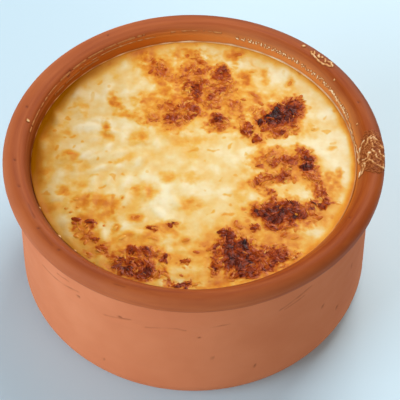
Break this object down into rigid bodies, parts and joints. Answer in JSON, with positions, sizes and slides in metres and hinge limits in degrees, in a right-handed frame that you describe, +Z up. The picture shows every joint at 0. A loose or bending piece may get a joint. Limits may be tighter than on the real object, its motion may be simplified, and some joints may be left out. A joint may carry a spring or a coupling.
{
  "type": "baked rice pudding in a clay dish",
  "caption": "Oven-baked rice pudding with a browned milk skin, filling a round terracotta dish with a straight wall and a rolled lip.",
  "frame": {"origin": "centre of the dish's flat foot, at the lowest point of the whole object", "axes": "+Z up along the dish's axis, +Y towards the far side as the dish is looked at, +X to the right"},
  "size_m": [0.12, 0.12, 0.0574],
  "materials": {
    "terracotta": "matte",
    "baked_pudding": "satin"
  },
  "bodies": {
    "root": {"dish": "terracotta", "pudding": "baked_pudding"}
  },
  "joints": []
}
